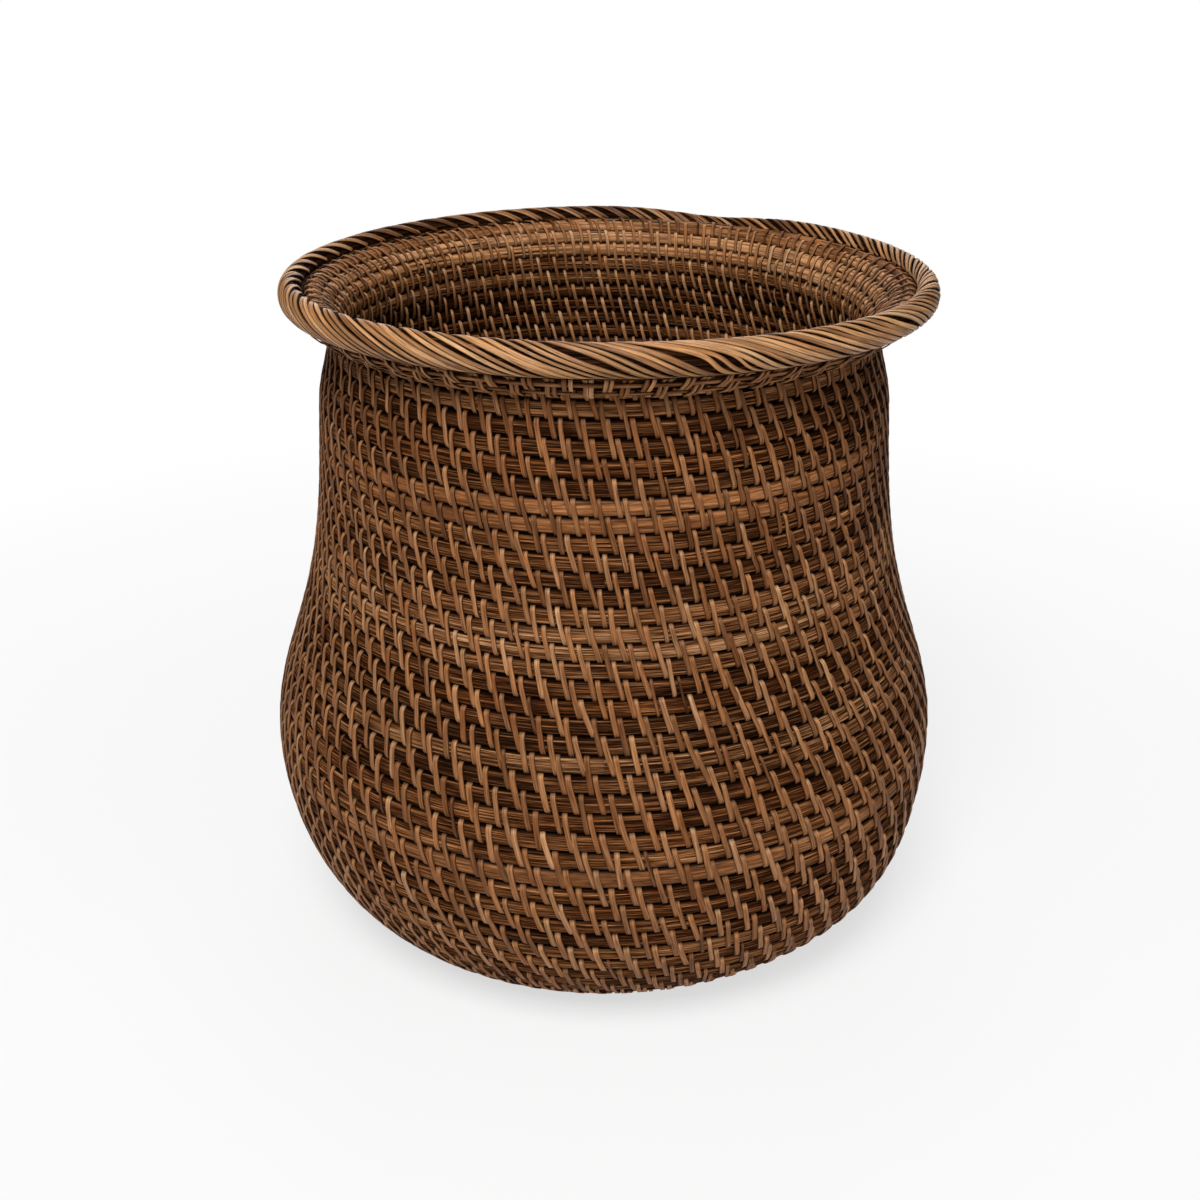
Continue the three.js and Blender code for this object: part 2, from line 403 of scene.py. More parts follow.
def bezier(start, end):
    """Points of the curve between two stations."""
    (start_radius, start_height, leaving), (end_radius, end_height, arriving) = start, end
    first = np.array([start_radius, start_height])
    last = np.array([end_radius, end_height])
    handle = np.linalg.norm(last - first) * HANDLE_SHARE
    out_of = np.array([math.cos(math.radians(leaving)), math.sin(math.radians(leaving))])
    into = np.array([math.cos(math.radians(arriving)), math.sin(math.radians(arriving))])
    u = np.linspace(0, 1, PROFILE_DIVISIONS + 1)[1:, None]
    return (
        (1 - u) ** 3 * first
        + 3 * (1 - u) ** 2 * u * (first + handle * out_of)
        + 3 * (1 - u) * u ** 2 * (last - handle * into)
        + u ** 3 * last
    )


def make_profile():
    """Distance, middle line and direction of the wall, from the axis to a little past the lip."""
    radius, height, _ = STATIONS[0]
    stretches = [np.array([[0.0, height], [radius, height]])]
    ends = []
    for start, end in zip(STATIONS, STATIONS[1:]):
        stretches.append(bezier(start, end))
        ends.append(sum(len(stretch) for stretch in stretches) - 1)
    line = np.concatenate(stretches)
    heading = math.radians(STATIONS[-1][2])
    line = np.vstack([line, line[-1] + RUN_ON * np.array([math.cos(heading), math.sin(heading)])])
    steps = np.linalg.norm(np.diff(line, axis=0), axis=1)
    distance = np.concatenate([[0], np.cumsum(steps)])
    return distance, line, distance[ends[-2]], distance[ends[-1]]


PROFILE_DISTANCE, PROFILE_LINE, NECK_DISTANCE, LIP_DISTANCE = make_profile()
WALL_TOP_DISTANCE = NECK_DISTANCE - WALL_TOP_BELOW_NECK


def profile_at(distance):
    """Radius and height of the middle line, and the direction along it."""
    radius = np.interp(distance, PROFILE_DISTANCE, PROFILE_LINE[:, 0])
    height = np.interp(distance, PROFILE_DISTANCE, PROFILE_LINE[:, 1])
    ahead = np.interp(distance + PROFILE_REACH, PROFILE_DISTANCE, PROFILE_LINE[:, 0])
    behind = np.interp(distance - PROFILE_REACH, PROFILE_DISTANCE, PROFILE_LINE[:, 0])
    above = np.interp(distance + PROFILE_REACH, PROFILE_DISTANCE, PROFILE_LINE[:, 1])
    below = np.interp(distance - PROFILE_REACH, PROFILE_DISTANCE, PROFILE_LINE[:, 1])
    out, up = ahead - behind, above - below
    length = np.hypot(out, up)
    return radius, height, out / length, up / length


def joint_at(turn):
    """Distance along the profile of the joint below a turn of the spiral."""
    turn = np.asarray(turn, float)
    base_pitch = BASE_RADIUS / (BASE_COURSES - SHAVED_COURSES / 2)
    shaved = base_pitch * np.maximum(turn, 0) ** 2 / (2 * SHAVED_COURSES)
    base = base_pitch * (turn - SHAVED_COURSES / 2)
    wall_share = (turn - BASE_COURSES) / WALL_COURSES
    lift = MID_WALL_LIFT * np.sin(math.pi * np.clip(wall_share, 0, 1)) ** MID_WALL_LIFT_POWER
    waves = sum(share * np.sin(FULL_TURN * turn / crests + phase) for crests, share, phase in UNEVEN_WAVES)
    fading = smoothstep(0, EVEN_ENDS, wall_share) * smoothstep(1, 1 - EVEN_ENDS, wall_share)
    uneven = COURSE_UNEVENNESS * waves * fading
    wall = BASE_RADIUS + (WALL_TOP_DISTANCE - BASE_RADIUS) * wall_share + lift + uneven
    lip_share = np.minimum(1, (turn - WALL_END) / LIP_COURSES)
    lip = WALL_TOP_DISTANCE + (LIP_DISTANCE - WALL_TOP_DISTANCE) * lip_share
    flat = np.where(turn < SHAVED_COURSES, shaved, base)
    risen = np.where(lip_share <= 0, wall, lip)
    return np.where(turn <= BASE_COURSES, flat, risen)


def azimuth_at(turn):
    return SEAM_AZIMUTH + turn * FULL_TURN


def by_hand(points):
    """Moves points as the basket strays from its true form: the rim is shifted and a little oval,
    and the foot bulges at one side."""
    azimuth = np.arctan2(points[..., 1], points[..., 0])
    radius = np.hypot(points[..., 0], points[..., 1])
    height = points[..., 2]
    top = smoothstep(NECK_HEIGHT - STRAY_BELOW_NECK, LIP_HEIGHT, height)
    turned = (azimuth - BULGE_AZIMUTH) / BULGE_WIDTH
    risen = (height - BULGE_HEIGHT) / BULGE_TALL
    bulge = BULGE * np.exp(-turned ** 2 - risen ** 2) * smoothstep(*BULGE_RADII, radius)
    radius = radius + RIM_OVAL * top * np.cos(2 * azimuth) + bulge
    return np.stack([
        radius * np.cos(azimuth) + RIM_SHIFT * top,
        radius * np.sin(azimuth),
        height - RIM_SADDLE * top * np.cos(2 * azimuth),
    ], axis=-1)


def place(distance, offset, azimuth):
    """Points of the wall at an offset from its middle line."""
    radius, height, along_out, along_up = profile_at(distance)
    reach = radius + along_up * offset
    level = height - along_out * offset
    return by_hand(round_axis(reach, azimuth, level))


def directions(distance, azimuth):
    """Unit vectors along the profile and outwards from it."""
    _, _, out, up = profile_at(distance)
    return round_axis(out, azimuth, up), round_axis(up, azimuth, -out)


# Meshes from rings of points

def ring_faces(tubes, rings, sides, is_loop):
    """Corner numbers of the quads round every tube, and of the polygons that close its ends."""
    joins = rings if is_loop else rings - 1
    tube = np.arange(tubes)[:, None, None] * rings * sides
    here = tube + np.arange(joins)[None, :, None] * sides
    there = tube + ((np.arange(joins) + 1) % rings)[None, :, None] * sides
    side = np.arange(sides)[None, None, :]
    next_side = (side + 1) % sides
    quads = np.stack([here + side, here + next_side, there + next_side, there + side], axis=-1)
    caps = np.zeros((0, sides), int)
    if not is_loop:
        first = tube[:, 0] + side[0]
        last = first + (rings - 1) * sides
        caps = np.concatenate([first[:, ::-1], last])
    return quads.reshape(-1, 4), caps


def volume_sign(points, quads):
    a, b, c, d = (points[quads[:, i]] for i in range(4))
    return np.sign(np.einsum("ij,ij->i", a, np.cross(b, c) + np.cross(c, d)).sum())


def make_mesh(name, rings, is_loop, grain, tone_and_painted_light, material):
    """One object from rings shaped (tubes, rings, sides, 3), with its grain, and its tone with painted
    light and shade, on each point.
    """
    tubes, count, sides, _ = rings.shape
    points = rings.reshape(-1, 3) * MM
    quads, caps = ring_faces(tubes, count, sides, is_loop)
    if volume_sign(points, quads) < 0:
        quads = quads[:, ::-1]
        caps = caps[:, ::-1]
    mesh = bpy.data.meshes.new(name)
    mesh.vertices.add(len(points))
    mesh.vertices.foreach_set("co", points.ravel())
    corners = np.concatenate([quads.ravel(), caps.ravel()])
    mesh.loops.add(len(corners))
    mesh.loops.foreach_set("vertex_index", corners.astype(np.int32))
    starts = np.concatenate([
        np.arange(len(quads)) * 4,
        len(quads) * 4 + np.arange(len(caps)) * sides,
    ])
    mesh.polygons.add(len(starts))
    mesh.polygons.foreach_set("loop_start", starts.astype(np.int32))
    mesh.update(calc_edges=True)
    mesh.shade_smooth()
    # The second attribute holds the tone with painted light, the painted shade of grooves and edges, and
    # the painted shade of joints
    for attribute_name, values in (("grain", grain), ("tone_and_painted_light", tone_and_painted_light)):
        attribute = mesh.attributes.new(attribute_name, "FLOAT_VECTOR", "POINT")
        attribute.data.foreach_set("vector", np.ascontiguousarray(values, np.float32).ravel())
    mesh.materials.append(material)
    piece = bpy.data.objects.new(name, mesh)
    bpy.context.scene.collection.objects.link(piece)
    return piece


def finish_piece(piece, slot, *nodes):
    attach(piece, "root")
    if nodes:
        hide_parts(*nodes)


# Sections of a flat and of a rounder strip: across from edge to edge, up from its underside to its crown,
# and the painted shade there, most at its edges and underside
FLAT_SECTION = np.array([
    (-1.0, 0.05, 1.0),
    (-0.94, 0.78, 0.6),
    (-0.72, 1.0, 0.0),
    (0.72, 1.0, 0.0),
    (0.94, 0.78, 0.6),
    (1.0, 0.05, 1.0),
    (0.0, -0.05, 1.0),
])
ROUND_SECTION = np.array([
    (-1.0, 0.1, 1.0),
    (-0.86, 0.76, 0.55),
    (-0.52, 0.98, 0.0),
    (0.52, 0.98, 0.0),
    (0.86, 0.76, 0.55),
    (1.0, 0.1, 1.0),
    (0.0, -0.05, 1.0),
])


def ribbons(middle, outwards, width, thickness, section):
    """Rings of flat strips along paths shaped (strips, stations, 3), with their grain coordinates."""
    tangent = np.gradient(middle, axis=1)
    tangent /= np.linalg.norm(tangent, axis=-1, keepdims=True)
    sideways = np.cross(tangent, outwards)
    sideways /= np.linalg.norm(sideways, axis=-1, keepdims=True)
    normal = np.cross(sideways, tangent)
    across = section[:, 0] * width[..., None] / 2
    up = section[:, 1] * thickness[..., None]
    rings = middle[:, :, None] + sideways[:, :, None] * across[..., None]
    rings = rings + normal[:, :, None] * up[..., None]
    steps = np.linalg.norm(np.diff(middle, axis=1), axis=-1)
    along = np.concatenate([np.zeros((len(middle), 1)), np.cumsum(steps, axis=1)], axis=1)
    along = np.broadcast_to(along[..., None], across.shape)
    grain = np.stack([along, across, np.zeros_like(across)], axis=-1)
    return rings, grain


# Materials

class Shader:
    """A material whose nodes are made by short calls."""

    def __init__(self, name):
        self.material = bpy.data.materials.new(name)
        self.material.use_nodes = True
        self.tree = self.material.node_tree
        self.surface = self.tree.nodes["Principled BSDF"]

    def put(self, socket, value):
        if isinstance(value, bpy.types.NodeSocket):
            self.tree.links.new(value, socket)
        else:
            socket.default_value = value

    def node(self, kind, inputs=(), **settings):
        made = self.tree.nodes.new(kind)
        for name, value in settings.items():
            setattr(made, name, value)
        for key, value in dict(inputs).items():
            self.put(made.inputs[key], value)
        return made

    def math(self, operation, first, second=0.0, is_clamped=False):
        made = self.node("ShaderNodeMath", {0: first, 1: second}, operation=operation, use_clamp=is_clamped)
        return made.outputs[0]

    def attribute(self, name):
        read = self.node("ShaderNodeAttribute", attribute_name=name)
        return read.outputs["Vector"]

    def parts(self, vector):
        return self.node("ShaderNodeSeparateXYZ", {0: vector}).outputs

    def vector(self, x, y, z):
        return self.node("ShaderNodeCombineXYZ", {0: x, 1: y, 2: z}).outputs[0]

    def noise(self, vector, detail, roughness):
        inputs = {"Vector": vector, "Scale": 1.0, "Detail": detail, "Roughness": roughness}
        return self.node("ShaderNodeTexNoise", inputs).outputs["Fac"]

    def spread(self, value, low, high, to_low, to_high):
        inputs = {"Value": value, "From Min": low, "From Max": high, "To Min": to_low, "To Max": to_high}
        return self.node("ShaderNodeMapRange", inputs).outputs[0]

    def ramp(self, value, stops):
        made = self.node("ShaderNodeValToRGB", {0: value})
        elements = made.color_ramp.elements
        while len(elements) < len(stops):
            elements.new(0.5)
        for element, (position, colour) in zip(elements, stops):
            element.position = position
            element.color = linear(colour)
        return made.outputs[0]

    def mix(self, share, first, second, blend="MIX"):
        """Mixed colour: sockets 6 and 7 are the mix node's two colours and 2 is its colour output."""
        made = self.node("ShaderNodeMix", data_type="RGBA", blend_type=blend)
        self.put(made.inputs[0], share)
        self.put(made.inputs[6], first)
        self.put(made.inputs[7], second)
        return made.outputs[2]


def linear(colour):
    """Linear colour from 0 to 255 sRGB values."""
    shares = np.array(colour, float) / 255
    values = np.where(shares <= 0.04045, shares / 12.92, ((shares + 0.055) / 1.055) ** 2.4)
    return (*values.tolist(), 1.0)


# Fibres and the bundles that they lie in are noise of a detail and a roughness, spread over its usual
# range. Some lengths have a yellow or a grey cast, and the darkest fibres are pores
NOISE_RANGE = (0.3, 0.7)
FIBRE_NOISE = (3.0, 0.62)
BUNDLE_NOISE = (2.0, 0.55)
BUNDLE_LENGTH = 5
BUNDLE_WIDTH = 3
BUNDLE_CONTRAST = 0.5
BUNDLE_SEED = 31.0
CASTS = (((255, 228, 196), 7.31), ((230, 238, 254), 3.77))
CAST_SHARE = 0.6
PORE_RANGE = (0.34, 0.44)
# How far the groove channel mixes the colour towards the groove colour, as painted shade
GROOVE_SHADE_SHARE = 0.9
BUMP_DISTANCE = 0.0006
# The colour of the painted shade in joints and tucks
PAINTED_SHADE_COLOUR = (8, 2, 0)
CANE_TONES = ((0.0, (18, 7, 1)), (0.35, (68, 36, 15)), (0.65, (142, 93, 54)), (1.0, (214, 160, 112)))
STRIP_TONES = ((0.0, (62, 34, 16)), (0.4, (127, 83, 50)), (0.7, (172, 123, 82)), (1.0, (214, 169, 126)))
RIM_TONES = ((0.0, (92, 56, 30)), (0.4, (162, 114, 71)), (0.7, (204, 154, 104)), (1.0, (230, 186, 138)))


def wood(name, tones, groove_colour, fibre_length, fibre_width, contrast, pores, bump, roughness, specular):
    """Rattan with fibres along its grain. Tone picks its colour, and painted shade darkens its grooves, the
    edges of strips and the joints between parts.
    """
    made = Shader(name)
    along, across, seed = made.parts(made.attribute("grain"))[:3]
    tone, groove, gap_shade = made.parts(made.attribute("tone_and_painted_light"))[:3]
    fibre_place = made.vector(
        made.math("DIVIDE", along, fibre_length),
        made.math("DIVIDE", across, fibre_width),
        seed,
    )
    fibres = made.noise(fibre_place, *FIBRE_NOISE)
    bundle_place = made.vector(
        made.math("DIVIDE", along, fibre_length * BUNDLE_LENGTH),
        made.math("DIVIDE", across, fibre_width * BUNDLE_WIDTH),
        made.math("ADD", seed, BUNDLE_SEED),
    )
    bundles = made.noise(bundle_place, *BUNDLE_NOISE)
    bundle_contrast = BUNDLE_CONTRAST * contrast
    shade = made.math("ADD", tone, made.spread(fibres, *NOISE_RANGE, -contrast, contrast))
    shade = made.math("ADD", shade, made.spread(bundles, *NOISE_RANGE, -bundle_contrast, bundle_contrast))
    colour = made.ramp(shade, tones)
    for cast, spin in CASTS:
        share = made.math("MULTIPLY", made.math("FRACT", made.math("MULTIPLY", seed, spin)), CAST_SHARE)
        colour = made.mix(share, colour, made.mix(1.0, colour, linear(cast), "MULTIPLY"))
    pore = made.spread(fibres, *PORE_RANGE, pores, 0.0)
    colour = made.mix(pore, colour, linear(groove_colour))
    # Painted shade: grooves and strip edges go towards the groove colour, joints and tucks towards the
    # shade colour
    colour = made.mix(made.math("MULTIPLY", groove, GROOVE_SHADE_SHARE, True), colour, linear(groove_colour))
    colour = made.mix(gap_shade, colour, linear(PAINTED_SHADE_COLOUR))
    made.put(made.surface.inputs["Base Color"], colour)
    made.put(made.surface.inputs["Roughness"], made.spread(fibres, *NOISE_RANGE, *reversed(roughness)))
    raised = made.node("ShaderNodeBump", {"Height": fibres, "Strength": bump, "Distance": BUMP_DISTANCE})
    made.put(made.surface.inputs["Normal"], raised.outputs[0])
    made.surface.inputs["Specular IOR Level"].default_value = specular
    return made.material


cane_wood = wood(
    "cane_wood", CANE_TONES, groove_colour=(14, 4, 0), fibre_length=20.0, fibre_width=0.38,
    contrast=0.43, pores=0.9, bump=0.9, roughness=(0.6, 0.85), specular=0.03,
)
skin_wood = wood(
    "skin_wood", CANE_TONES, groove_colour=(20, 9, 3), fibre_length=9.0, fibre_width=0.7,
    contrast=0.16, pores=0.25, bump=0.6, roughness=(0.45, 0.65), specular=0.08,
)
strip_wood = wood(
    "strip_wood", STRIP_TONES, groove_colour=(14, 6, 2), fibre_length=10.0, fibre_width=0.36,
    contrast=0.2, pores=0.35, bump=0.35, roughness=(0.38, 0.52), specular=0.07,
)
rim_wood = wood(
    "rim_wood", RIM_TONES, groove_colour=(30, 15, 6), fibre_length=12.0, fibre_width=0.3,
    contrast=0.26, pores=0.5, bump=0.5, roughness=(0.34, 0.5), specular=0.26,
)


# The core of each length of cane

def section_across():
    """Places across a course, from edge to edge outside and back inside, and which side each is on."""
    out = np.linspace(-1, 1, CORE_SEGMENTS + 1)
    back = np.linspace(1, -1, CORE_SEGMENTS + 1)[1:-1]
    across = np.concatenate([out, back])
    side = np.concatenate([np.ones(len(out)), -np.ones(len(back))])
    return across, side


def course_half_depth(pitch):
    """Half the depth of the core in a course."""
    return CORE_HALF_DEPTH * np.clip(pitch / THIN_COURSE, THINNEST_SHARE, 1) ** THINNING_POWER


def groove_depths(across_mm, side, along, half_width, rng, depth):
    """Depth of the wandering grooves between the fibre bundles of a core."""
    total = np.zeros(across_mm.shape)
    for face in (-1, 1):
        for number in range(GROOVES):
            jitter = rng.uniform(-GROOVE_JITTER, GROOVE_JITTER)
            middle = (2 * (number + 0.5 + jitter) / GROOVES - 1) * GROOVE_SPAN
            centre = middle * half_width + GROOVE_WANDER * wander(along, rng, GROOVE_WANDER_LENGTH)
            wave = GROOVE_STRENGTH_WAVE * wander(along, rng, GROOVE_STRENGTH_LENGTH)
            strength = np.clip(GROOVE_STRENGTH + wave, 0, 1) * depth
            away = (across_mm - centre[:, None]) / GROOVE_WIDTH
            total += np.where(side == face, strength[:, None] * np.exp(-away ** 2), 0)
    return total


def changing_tones(rng, shortest, longest, middle, spread):
    """A tone for every turn, which changes where one length ends and the next begins."""
    changes = np.cumsum(rng.uniform(shortest, longest, int(ALL_COURSES / shortest)))
    tones = middle + spread * np.clip(rng.normal(0, 1, len(changes) + 1), -TONE_LIMIT, TONE_LIMIT)
    return lambda turn: tones[np.searchsorted(changes, turn)]


def core_tone(turn):
    """Tone of the cores at a turn: pale in the lip, and as marked at the front."""
    tone = any_core_tone(turn) + (LIP_TONE - MIDDLE_TONE) * smoothstep(*LIP_TONE_TURNS, turn)
    for course, marked in MARKED_COURSES.items():
        tone = tone + (marked - tone) * smoothstep(*MARK_EDGE, np.abs(turn - course))
    return tone


core_tone_rng = np.random.default_rng([SEED, CORE_TONE_STREAM])
any_core_tone = changing_tones(core_tone_rng, *TONE_TURNS, MIDDLE_TONE, TONE_SPREAD)


def make_core(name, first_turn, last_turn, rng, groove_depth):
    steps = max(2, round((last_turn - first_turn) * CORE_STEPS_PER_TURN))
    turn = np.linspace(first_turn, last_turn, steps + 1)
    low, high = joint_at(turn), joint_at(turn + 1)
    pitch = high - low
    azimuth = azimuth_at(turn)
    radius = profile_at((low + high) / 2)[0]
    along = np.concatenate([[0], np.cumsum(np.diff(azimuth) * radius[1:])])
    half_width = pitch / 2 + CORE_OVERLAP + START_OVERLAP * smoothstep(*START_OVERLAP_TURNS, turn)
    across, side = section_across()
    across_mm = across[None, :] * half_width[:, None]
    squareness = np.where(side > 0, CORE_SQUARENESS, CORE_SQUARENESS_INSIDE)
    depth = (1 - np.abs(across) ** squareness) ** (1 / squareness)
    groove = groove_depths(across_mm, side, along, half_width, rng, groove_depth)
    crown = course_half_depth(pitch) * (1 + CROWN_WAVE * wander(along, rng, CROWN_WAVELENGTH))
    offset = side * np.maximum(depth * crown[:, None] - groove * depth, 0)
    distance = (low + high)[:, None] / 2 + across_mm
    rings = place(distance, offset, azimuth[:, None])
    shape = across_mm.shape
    girth = across_mm + np.where(side > 0, 0, FAR_SIDE_GRAIN)
    grain = stack_over(shape, along[:, None], girth, rng.uniform(0, MOST_SEEDS))
    # Painted shade on the inner side of the wall, in tone and in the joints
    inside = (side < 0) * smoothstep(*WALL_INSIDE_TURNS, turn)[:, None]
    tone_wave = TONE_WAVE * wander(along, rng, TONE_WAVELENGTH)[:, None]
    tones = core_tone(turn)[:, None] + tone_wave - INSIDE_SHADE * inside
    lip_inside = (side < 0) * smoothstep(*LIP_INSIDE_TURNS, turn)[:, None]
    # Painted shade at the edges of each course, in the joints, with less of it inside the lip
    edge_shade = (EDGE_SHADE - LIP_EDGE_SHADE_RELIEF * lip_inside) * smoothstep(*EDGE_SHARES, np.abs(across))
    gap_shades = np.minimum(edge_shade + INSIDE_GAP_SHADE * inside, EDGE_SHADE)
    # The groove depth also paints shade into the grooves between fibre bundles
    tone_and_painted_light = np.stack([tones, groove / GROOVE_DEPTH, gap_shades], axis=-1)
    in_lip = first_turn >= WALL_END
    is_smooth = in_lip or any(first_turn <= course < last_turn for course in SMOOTH_COURSES)
    material = skin_wood if is_smooth else cane_wood
    piece = make_mesh(name + "_core", rings[None], False, grain, tone_and_painted_light, material)
    finish_piece(piece, "cane", name)


# The binding strip

def stitch_turns():
    """Turns at which the stitches start: evenly along the base, then so many to a turn."""
    turns = [FIRST_STITCH_TURN]
    while turns[-1] < ALL_COURSES:
        per_turn = STITCHES_PER_TURN
        if turns[-1] < BASE_COURSES:
            per_turn = FULL_TURN * float(joint_at(turns[-1])) / BASE_STITCH_SPACING
        turns.append(turns[-1] + 1 / per_turn)
    return np.array(turns)


def stitch_stations():
    """Places of one stitch's stations across its two courses, and their share of the way to the next."""
    outside = np.array(OUTSIDE_STATIONS)
    inside = np.array(INSIDE_STATIONS)
    across = np.concatenate([[1.0], outside, [-1.0], inside])
    side = np.concatenate([[0], np.ones(len(outside)), [0], -np.ones(len(inside))])
    advance = np.concatenate([
        [-GAP_SHARE / 2],
        OUTSIDE_SHARE * ((1 - outside) / 2) ** STITCH_CURVE,
        [OUTSIDE_SHARE + GAP_SHARE / 2],
        OUTSIDE_SHARE + GAP_SHARE + INSIDE_SHARE * (1 + inside) / 2,
    ])
    return across, side, advance


def strip_offset(across, pitch, half_depth):
    """Height of a strip over the middle line: on the cores, dipping where it spans the joint."""
    half_width = pitch / 2 + CORE_OVERLAP
    local = np.clip((np.abs(across) - 0.5) * pitch / half_width, -1, 1)
    on_core = (1 - np.abs(local) ** CORE_SQUARENESS) ** (1 / CORE_SQUARENESS)
    dip = MIDDLE_DIP * (0.5 + 0.5 * np.cos(FULL_TURN * across))
    return np.where(np.abs(across) < 0.5, half_depth - dip, half_depth * on_core)


def tone_changes(across, side, turns):
    """Painted highlights, light and shade on a stitch along its way, in the wall and in the lip."""
    is_inside = side < 0
    lip_share = smoothstep(*LIP_STITCH_TURNS, turns)[:, None]
    # Painted highlights at the bends of the stitch ends
    end_highlight = END_HIGHLIGHT * smoothstep(*END_HIGHLIGHT_PLACES, across)
    lip_end_highlights = LIP_END_HIGHLIGHT * lip_share * is_inside * smoothstep(*LIP_END_HIGHLIGHT_PLACES, np.abs(across))
    # Painted light on the inner stitches of the wall
    inside_light = INSIDE_PAINTED_LIGHT * (1 - lip_share) * is_inside
    # Painted shade on the lower half of the inner stitches
    lower_share = is_inside * smoothstep(*INSIDE_LOWER_PLACES, across) * (1 - LIP_LOWER_RELIEF * lip_share)
    # Painted shadow of the rim on the upper wall's stitches
    rim_shadow_share = (side > 0) * smoothstep(*RIM_SHADOW_TURNS, turns)[:, None] * (1 - lip_share)
    darkening = INSIDE_LOWER_SHADE * lower_share + RIM_SHADOW * rim_shadow_share
    return end_highlight + lip_end_highlights + inside_light - darkening


def make_binding(name, turns, spacing, rng, tone_at):
    across, side, advance = stitch_stations()
    count = len(turns)
    jitter = rng.normal(0, STITCH_JITTER_OUTSIDE, count)[:, None] * (side > 0)
    jitter = jitter + rng.normal(0, STITCH_JITTER_INSIDE, count)[:, None] * (side < 0)
    slant = rng.normal(0, STITCH_SLANT_JITTER, count)[:, None] * np.where(side > 0, -across, 0)
    turn = turns[:, None] + (advance + jitter + slant) * spacing[:, None]
    joint, above, below = joint_at(turn), joint_at(turn + 1), joint_at(turn - 1)
    pitch = np.where(across > 0, above - joint, joint - below)
    distance = joint + across * pitch
    offset = side * strip_offset(across, pitch, course_half_depth(pitch))
    flat_turn, flat_distance, flat_offset = turn.ravel(), distance.ravel(), offset.ravel()
    azimuth = azimuth_at(flat_turn)
    middle = place(flat_distance, flat_offset, azimuth)
    along, outwards = directions(flat_distance, azimuth)
    run, rise = np.gradient(flat_distance), np.gradient(flat_offset)
    length = np.hypot(run, rise)
    normal = along * (rise / length)[:, None] - outwards * (run / length)[:, None]
    stations = len(across)
    mm_spacing = spacing * FULL_TURN * profile_at(joint_at(turns))[0]
    is_odd = rng.random(count) < ODD_STITCHES
    width = mm_spacing * STITCH_WIDTH_SHARE * (1 + rng.normal(0, STITCH_WIDTH_JITTER, count))
    width = width * np.where(is_odd, ODD_WIDTH, 1)
    width = (width[:, None] * np.where(side < 0, INSIDE_NARROWING, 1)).ravel()
    thickness = STITCH_THICKNESS * (1 + rng.normal(0, STITCH_THICKNESS_JITTER, count))
    thickness = np.minimum(thickness, np.where(turns < BASE_COURSES + 1, BASE_STITCH_THICKNESS, 1))
    thickness = np.repeat(thickness, stations)
    rings, grain = ribbons(middle[None], normal[None], width[None], thickness[None], FLAT_SECTION)
    whole_tones = tone_at(turns) + rng.normal(0, STITCH_TONE_JITTER, count) - ODD_DARKENING * is_odd
    tones = (whole_tones[:, None] + tone_changes(across, side, turns)).ravel()
    seeds = np.repeat(rng.uniform(0, MOST_SEEDS, count), stations)
    grain[0, :, :, 2] = seeds[:, None]
    # Painted shade where the stitch goes down into a joint
    depth_shade = STITCH_DEPTH_SHADE * (1 - smoothstep(*STITCH_SHADE_DEPTHS, np.abs(flat_offset)))
    shape = (len(flat_turn), len(FLAT_SECTION))
    tone_and_painted_light = stack_over(shape, tones[:, None], FLAT_SECTION[:, 2], depth_shade[:, None])
    piece = make_mesh(name + "_binding", rings, False, grain, tone_and_painted_light, strip_wood)
    finish_piece(piece, "strip")


def cane_lengths():
    """Name, first turn and last turn of every length of cane, spliced at whole steps as in the frame."""
    lengths = [("base_start_coil", 0, START_COURSES)]
    groups = (
        ("base_cane", BASE_CANES, START_COURSES, BASE_COURSES),
        ("wall_cane", WALL_CANES, BASE_COURSES, WALL_END),
        ("lip_cane", LIP_CANES, WALL_END, ALL_COURSES),
    )
    for name, count, first_turn, last_turn in groups:
        start = first_turn * STEPS_PER_TURN
        left_off = STEPS_LEFT_OFF_AT_END if last_turn == ALL_COURSES else 0
        end = last_turn * STEPS_PER_TURN - left_off
        splices = [math.floor(start + (end - start) * i / count + 0.5) for i in range(count + 1)]
        for i in range(count):
            first_splice, last_splice = splices[i] / STEPS_PER_TURN, splices[i + 1] / STEPS_PER_TURN
            lengths.append((f"{name}_{i + 1:02d}", first_splice, last_splice))
    return lengths


def make_coil():
    turns = stitch_turns()
    spacing = np.diff(turns)
    turns = turns[:-1]
    stitch_tone_rng = np.random.default_rng(SEED)
    strip_tone = changing_tones(stitch_tone_rng, *STITCH_TONE_TURNS, STITCH_TONE, STITCH_TONE_SPREAD)
    lengths = cane_lengths()
    for number, (name, first, last) in enumerate(lengths):
        rng = np.random.default_rng([SEED, number])
        make_core(name, first, last, rng, GROOVE_DEPTH * rng.uniform(SHALLOWEST_GROOVES, 1.0))
        end = ALL_COURSES if number == len(lengths) - 1 else last
        chosen = (turns >= first) & (turns < end)
        make_binding(name, turns[chosen], spacing[chosen], rng, strip_tone)


# The rim

def rim_middle(azimuth):
    """Radius and height of the middle of the rim, which sags a little at one place behind."""
    radius, height, out, up = profile_at(LIP_DISTANCE)
    reach = RIM_HALF_WIDTH + RIM_CLEARANCE
    sag = RIM_SAG * np.exp(-(turned_from(azimuth, RIM_SAG_AZIMUTH) / RIM_SAG_WIDTH) ** 2)
    return radius + out * reach, height + up * reach + RIM_ABOVE_LIP - sag


def round_rim(azimuth, angle, depth):
    """Points round the oval rim at a depth below its surface, and the directions that face out of it."""
    middle_radius, middle_height = rim_middle(azimuth)
    reach = middle_radius + (RIM_HALF_WIDTH - depth) * np.cos(angle)
    level = middle_height + (RIM_HALF_HEIGHT - depth) * np.sin(angle)
    outwards = round_axis(RIM_HALF_HEIGHT * np.cos(angle), azimuth, RIM_HALF_WIDTH * np.sin(angle))
    outwards = outwards / np.linalg.norm(outwards, axis=-1, keepdims=True)
    return by_hand(round_axis(reach, azimuth, level)), outwards


